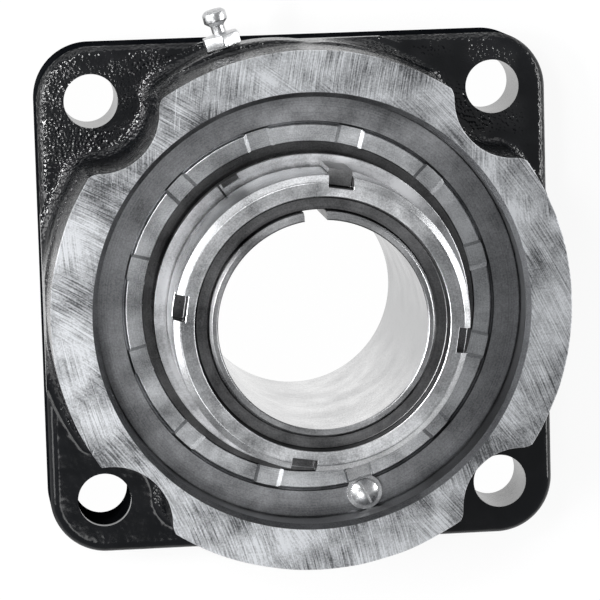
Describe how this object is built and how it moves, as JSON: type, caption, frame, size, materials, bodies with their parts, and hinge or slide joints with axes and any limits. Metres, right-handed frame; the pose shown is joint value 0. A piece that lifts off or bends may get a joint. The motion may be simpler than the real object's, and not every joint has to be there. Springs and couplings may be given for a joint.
{
  "type": "flange bearing unit",
  "caption": "Square flange bearing unit: cast housing, roller bearing on a tapered adapter sleeve with locknut, slotted adjusting ring and grease fitting.",
  "frame": {"origin": "on the bore's axis, in the plane of the flange's back face, at the centre of the four bolt holes", "axes": "+Z along the bore and out of the front face; +X and +Y along the flange's sides; the grease fitting leaves the boss 15.5 degrees from +Y towards -X"},
  "size_m": [0.1906, 0.204, 0.108],
  "materials": {
    "painted_casting": "gloss black paint, with the front face and bores left machined",
    "turned_steel": "turned and oiled",
    "bearing_steel": "ground",
    "dark_steel": "turned, dark with oil",
    "washer_steel": "pressed sheet steel",
    "cage_steel": "pressed and phosphated",
    "plated_steel": "bright zinc plated"
  },
  "bodies": {
    "housing_group": {"housing": "painted_casting", "adjusting_ring": "turned_steel", "lock_plate": "plated_steel", "lock_screw": "plated_steel", "outer_ring": "bearing_steel", "grease_fitting": "plated_steel", "fitting_spring": "washer_steel"},
    "floating_seals": {"front_seal": "dark_steel", "rear_seal": "dark_steel"},
    "shaft_group": {"inner_ring": "bearing_steel", "adapter_sleeve": "turned_steel", "lock_nut": "turned_steel", "lock_washer": "washer_steel", "retaining_ring": "turned_steel", "flinger": "dark_steel"},
    "front_cage": {"cage_front": "cage_steel"},
    "rear_cage": {"cage_rear": "cage_steel"},
    "floating_guide": {"guide_ring": "cage_steel"},
    "check_ball": {"fitting_ball": "bearing_steel"},
    "body_roller_front_01": {"roller_front_01": "bearing_steel"},
    "body_roller_front_02": {"roller_front_02": "bearing_steel"},
    "body_roller_front_03": {"roller_front_03": "bearing_steel"},
    "body_roller_front_04": {"roller_front_04": "bearing_steel"},
    "body_roller_front_05": {"roller_front_05": "bearing_steel"},
    "body_roller_front_06": {"roller_front_06": "bearing_steel"},
    "body_roller_front_07": {"roller_front_07": "bearing_steel"},
    "body_roller_front_08": {"roller_front_08": "bearing_steel"},
    "body_roller_front_09": {"roller_front_09": "bearing_steel"},
    "body_roller_front_10": {"roller_front_10": "bearing_steel"},
    "body_roller_front_11": {"roller_front_11": "bearing_steel"},
    "body_roller_front_12": {"roller_front_12": "bearing_steel"},
    "body_roller_front_13": {"roller_front_13": "bearing_steel"},
    "body_roller_front_14": {"roller_front_14": "bearing_steel"},
    "body_roller_front_15": {"roller_front_15": "bearing_steel"},
    "body_roller_front_16": {"roller_front_16": "bearing_steel"},
    "body_roller_front_17": {"roller_front_17": "bearing_steel"},
    "body_roller_rear_01": {"roller_rear_01": "bearing_steel"},
    "body_roller_rear_02": {"roller_rear_02": "bearing_steel"},
    "body_roller_rear_03": {"roller_rear_03": "bearing_steel"},
    "body_roller_rear_04": {"roller_rear_04": "bearing_steel"},
    "body_roller_rear_05": {"roller_rear_05": "bearing_steel"},
    "body_roller_rear_06": {"roller_rear_06": "bearing_steel"},
    "body_roller_rear_07": {"roller_rear_07": "bearing_steel"},
    "body_roller_rear_08": {"roller_rear_08": "bearing_steel"},
    "body_roller_rear_09": {"roller_rear_09": "bearing_steel"},
    "body_roller_rear_10": {"roller_rear_10": "bearing_steel"},
    "body_roller_rear_11": {"roller_rear_11": "bearing_steel"},
    "body_roller_rear_12": {"roller_rear_12": "bearing_steel"},
    "body_roller_rear_13": {"roller_rear_13": "bearing_steel"},
    "body_roller_rear_14": {"roller_rear_14": "bearing_steel"},
    "body_roller_rear_15": {"roller_rear_15": "bearing_steel"},
    "body_roller_rear_16": {"roller_rear_16": "bearing_steel"},
    "body_roller_rear_17": {"roller_rear_17": "bearing_steel"}
  },
  "joints": [
    {"name": "shaft_tilt", "type": "hinge", "parent": "housing_group", "child": "floating_seals", "pos_m": [0, 0, 0.038], "axis": [1, 0, 0], "range_deg": [-1, 1]},
    {"name": "shaft_spin", "type": "hinge", "parent": "floating_seals", "child": "shaft_group", "pos_m": [0, 0, 0.038], "axis": [0, 0, 1], "continuous": true},
    {"name": "front_cage_orbit", "type": "hinge", "parent": "floating_seals", "child": "front_cage", "pos_m": [0, 0, 0.038], "axis": [0, 0, 1], "continuous": true},
    {"name": "rear_cage_orbit", "type": "hinge", "parent": "floating_seals", "child": "rear_cage", "pos_m": [0, 0, 0.038], "axis": [0, 0, 1], "continuous": true},
    {"name": "guide_ring_orbit", "type": "hinge", "parent": "floating_seals", "child": "floating_guide", "pos_m": [0, 0, 0.038], "axis": [0, 0, 1], "continuous": true},
    {"name": "check_ball_press", "type": "slide", "parent": "housing_group", "child": "check_ball", "axis": [0.2672, -0.9636, 0], "range_m": [0, 0.0005], "stiffness_N_per_m": 600, "springref_m": -0.001},
    {"name": "roller_front_01_spin", "type": "hinge", "parent": "front_cage", "child": "body_roller_front_01", "pos_m": [0.05284, 0, 0.0462], "axis": [-0.1533, 0, 0.9882], "continuous": true},
    {"name": "roller_front_02_spin", "type": "hinge", "parent": "front_cage", "child": "body_roller_front_02", "pos_m": [0.04927, 0.01909, 0.0462], "axis": [-0.143, -0.0554, 0.9882], "continuous": true},
    {"name": "roller_front_03_spin", "type": "hinge", "parent": "front_cage", "child": "body_roller_front_03", "pos_m": [0.03905, 0.0356, 0.0462], "axis": [-0.1133, -0.1033, 0.9882], "continuous": true},
    {"name": "roller_front_04_spin", "type": "hinge", "parent": "front_cage", "child": "body_roller_front_04", "pos_m": [0.02355, 0.0473, 0.0462], "axis": [-0.0683, -0.1373, 0.9882], "continuous": true},
    {"name": "roller_front_05_spin", "type": "hinge", "parent": "front_cage", "child": "body_roller_front_05", "pos_m": [0.00488, 0.05261, 0.0462], "axis": [-0.0141, -0.1527, 0.9882], "continuous": true},
    {"name": "roller_front_06_spin", "type": "hinge", "parent": "front_cage", "child": "body_roller_front_06", "pos_m": [-0.01446, 0.05082, 0.0462], "axis": [0.042, -0.1475, 0.9882], "continuous": true},
    {"name": "roller_front_07_spin", "type": "hinge", "parent": "front_cage", "child": "body_roller_front_07", "pos_m": [-0.03184, 0.04217, 0.0462], "axis": [0.0924, -0.1224, 0.9882], "continuous": true},
    {"name": "roller_front_08_spin", "type": "hinge", "parent": "front_cage", "child": "body_roller_front_08", "pos_m": [-0.04492, 0.02782, 0.0462], "axis": [0.1304, -0.0807, 0.9882], "continuous": true},
    {"name": "roller_front_09_spin", "type": "hinge", "parent": "front_cage", "child": "body_roller_front_09", "pos_m": [-0.05194, 0.00971, 0.0462], "axis": [0.1507, -0.0282, 0.9882], "continuous": true},
    {"name": "roller_front_10_spin", "type": "hinge", "parent": "front_cage", "child": "body_roller_front_10", "pos_m": [-0.05194, -0.00971, 0.0462], "axis": [0.1507, 0.0282, 0.9882], "continuous": true},
    {"name": "roller_front_11_spin", "type": "hinge", "parent": "front_cage", "child": "body_roller_front_11", "pos_m": [-0.04492, -0.02782, 0.0462], "axis": [0.1304, 0.0807, 0.9882], "continuous": true},
    {"name": "roller_front_12_spin", "type": "hinge", "parent": "front_cage", "child": "body_roller_front_12", "pos_m": [-0.03184, -0.04217, 0.0462], "axis": [0.0924, 0.1224, 0.9882], "continuous": true},
    {"name": "roller_front_13_spin", "type": "hinge", "parent": "front_cage", "child": "body_roller_front_13", "pos_m": [-0.01446, -0.05082, 0.0462], "axis": [0.042, 0.1475, 0.9882], "continuous": true},
    {"name": "roller_front_14_spin", "type": "hinge", "parent": "front_cage", "child": "body_roller_front_14", "pos_m": [0.00488, -0.05261, 0.0462], "axis": [-0.0141, 0.1527, 0.9882], "continuous": true},
    {"name": "roller_front_15_spin", "type": "hinge", "parent": "front_cage", "child": "body_roller_front_15", "pos_m": [0.02355, -0.0473, 0.0462], "axis": [-0.0683, 0.1373, 0.9882], "continuous": true},
    {"name": "roller_front_16_spin", "type": "hinge", "parent": "front_cage", "child": "body_roller_front_16", "pos_m": [0.03905, -0.0356, 0.0462], "axis": [-0.1133, 0.1033, 0.9882], "continuous": true},
    {"name": "roller_front_17_spin", "type": "hinge", "parent": "front_cage", "child": "body_roller_front_17", "pos_m": [0.04927, -0.01909, 0.0462], "axis": [-0.143, 0.0554, 0.9882], "continuous": true},
    {"name": "roller_rear_01_spin", "type": "hinge", "parent": "rear_cage", "child": "body_roller_rear_01", "pos_m": [0.05194, 0.00971, 0.0298], "axis": [0.1507, 0.0282, 0.9882], "continuous": true},
    {"name": "roller_rear_02_spin", "type": "hinge", "parent": "rear_cage", "child": "body_roller_rear_02", "pos_m": [0.04492, 0.02782, 0.0298], "axis": [0.1304, 0.0807, 0.9882], "continuous": true},
    {"name": "roller_rear_03_spin", "type": "hinge", "parent": "rear_cage", "child": "body_roller_rear_03", "pos_m": [0.03184, 0.04217, 0.0298], "axis": [0.0924, 0.1224, 0.9882], "continuous": true},
    {"name": "roller_rear_04_spin", "type": "hinge", "parent": "rear_cage", "child": "body_roller_rear_04", "pos_m": [0.01446, 0.05082, 0.0298], "axis": [0.042, 0.1475, 0.9882], "continuous": true},
    {"name": "roller_rear_05_spin", "type": "hinge", "parent": "rear_cage", "child": "body_roller_rear_05", "pos_m": [-0.00488, 0.05261, 0.0298], "axis": [-0.0141, 0.1527, 0.9882], "continuous": true},
    {"name": "roller_rear_06_spin", "type": "hinge", "parent": "rear_cage", "child": "body_roller_rear_06", "pos_m": [-0.02355, 0.0473, 0.0298], "axis": [-0.0683, 0.1373, 0.9882], "continuous": true},
    {"name": "roller_rear_07_spin", "type": "hinge", "parent": "rear_cage", "child": "body_roller_rear_07", "pos_m": [-0.03905, 0.0356, 0.0298], "axis": [-0.1133, 0.1033, 0.9882], "continuous": true},
    {"name": "roller_rear_08_spin", "type": "hinge", "parent": "rear_cage", "child": "body_roller_rear_08", "pos_m": [-0.04927, 0.01909, 0.0298], "axis": [-0.143, 0.0554, 0.9882], "continuous": true},
    {"name": "roller_rear_09_spin", "type": "hinge", "parent": "rear_cage", "child": "body_roller_rear_09", "pos_m": [-0.05284, 0, 0.0298], "axis": [-0.1533, 0, 0.9882], "continuous": true},
    {"name": "roller_rear_10_spin", "type": "hinge", "parent": "rear_cage", "child": "body_roller_rear_10", "pos_m": [-0.04927, -0.01909, 0.0298], "axis": [-0.143, -0.0554, 0.9882], "continuous": true},
    {"name": "roller_rear_11_spin", "type": "hinge", "parent": "rear_cage", "child": "body_roller_rear_11", "pos_m": [-0.03905, -0.0356, 0.0298], "axis": [-0.1133, -0.1033, 0.9882], "continuous": true},
    {"name": "roller_rear_12_spin", "type": "hinge", "parent": "rear_cage", "child": "body_roller_rear_12", "pos_m": [-0.02355, -0.0473, 0.0298], "axis": [-0.0683, -0.1373, 0.9882], "continuous": true},
    {"name": "roller_rear_13_spin", "type": "hinge", "parent": "rear_cage", "child": "body_roller_rear_13", "pos_m": [-0.00488, -0.05261, 0.0298], "axis": [-0.0141, -0.1527, 0.9882], "continuous": true},
    {"name": "roller_rear_14_spin", "type": "hinge", "parent": "rear_cage", "child": "body_roller_rear_14", "pos_m": [0.01446, -0.05082, 0.0298], "axis": [0.042, -0.1475, 0.9882], "continuous": true},
    {"name": "roller_rear_15_spin", "type": "hinge", "parent": "rear_cage", "child": "body_roller_rear_15", "pos_m": [0.03184, -0.04217, 0.0298], "axis": [0.0924, -0.1224, 0.9882], "continuous": true},
    {"name": "roller_rear_16_spin", "type": "hinge", "parent": "rear_cage", "child": "body_roller_rear_16", "pos_m": [0.04492, -0.02782, 0.0298], "axis": [0.1304, -0.0807, 0.9882], "continuous": true},
    {"name": "roller_rear_17_spin", "type": "hinge", "parent": "rear_cage", "child": "body_roller_rear_17", "pos_m": [0.05194, -0.00971, 0.0298], "axis": [0.1507, -0.0282, 0.9882], "continuous": true}
  ],
  "couplings": [
    {"joint": "front_cage_orbit", "follows": "shaft_spin", "ratio": 0.43426},
    {"joint": "rear_cage_orbit", "follows": "shaft_spin", "ratio": 0.43426},
    {"joint": "guide_ring_orbit", "follows": "shaft_spin", "ratio": 0.43426},
    {"joint": "roller_front_01_spin", "follows": "shaft_spin", "ratio": -3.7089},
    {"joint": "roller_front_02_spin", "follows": "shaft_spin", "ratio": -3.7089},
    {"joint": "roller_front_03_spin", "follows": "shaft_spin", "ratio": -3.7089},
    {"joint": "roller_front_04_spin", "follows": "shaft_spin", "ratio": -3.7089},
    {"joint": "roller_front_05_spin", "follows": "shaft_spin", "ratio": -3.7089},
    {"joint": "roller_front_06_spin", "follows": "shaft_spin", "ratio": -3.7089},
    {"joint": "roller_front_07_spin", "follows": "shaft_spin", "ratio": -3.7089},
    {"joint": "roller_front_08_spin", "follows": "shaft_spin", "ratio": -3.7089},
    {"joint": "roller_front_09_spin", "follows": "shaft_spin", "ratio": -3.7089},
    {"joint": "roller_front_10_spin", "follows": "shaft_spin", "ratio": -3.7089},
    {"joint": "roller_front_11_spin", "follows": "shaft_spin", "ratio": -3.7089},
    {"joint": "roller_front_12_spin", "follows": "shaft_spin", "ratio": -3.7089},
    {"joint": "roller_front_13_spin", "follows": "shaft_spin", "ratio": -3.7089},
    {"joint": "roller_front_14_spin", "follows": "shaft_spin", "ratio": -3.7089},
    {"joint": "roller_front_15_spin", "follows": "shaft_spin", "ratio": -3.7089},
    {"joint": "roller_front_16_spin", "follows": "shaft_spin", "ratio": -3.7089},
    {"joint": "roller_front_17_spin", "follows": "shaft_spin", "ratio": -3.7089},
    {"joint": "roller_rear_01_spin", "follows": "shaft_spin", "ratio": -3.7089},
    {"joint": "roller_rear_02_spin", "follows": "shaft_spin", "ratio": -3.7089},
    {"joint": "roller_rear_03_spin", "follows": "shaft_spin", "ratio": -3.7089},
    {"joint": "roller_rear_04_spin", "follows": "shaft_spin", "ratio": -3.7089},
    {"joint": "roller_rear_05_spin", "follows": "shaft_spin", "ratio": -3.7089},
    {"joint": "roller_rear_06_spin", "follows": "shaft_spin", "ratio": -3.7089},
    {"joint": "roller_rear_07_spin", "follows": "shaft_spin", "ratio": -3.7089},
    {"joint": "roller_rear_08_spin", "follows": "shaft_spin", "ratio": -3.7089},
    {"joint": "roller_rear_09_spin", "follows": "shaft_spin", "ratio": -3.7089},
    {"joint": "roller_rear_10_spin", "follows": "shaft_spin", "ratio": -3.7089},
    {"joint": "roller_rear_11_spin", "follows": "shaft_spin", "ratio": -3.7089},
    {"joint": "roller_rear_12_spin", "follows": "shaft_spin", "ratio": -3.7089},
    {"joint": "roller_rear_13_spin", "follows": "shaft_spin", "ratio": -3.7089},
    {"joint": "roller_rear_14_spin", "follows": "shaft_spin", "ratio": -3.7089},
    {"joint": "roller_rear_15_spin", "follows": "shaft_spin", "ratio": -3.7089},
    {"joint": "roller_rear_16_spin", "follows": "shaft_spin", "ratio": -3.7089},
    {"joint": "roller_rear_17_spin", "follows": "shaft_spin", "ratio": -3.7089}
  ]
}
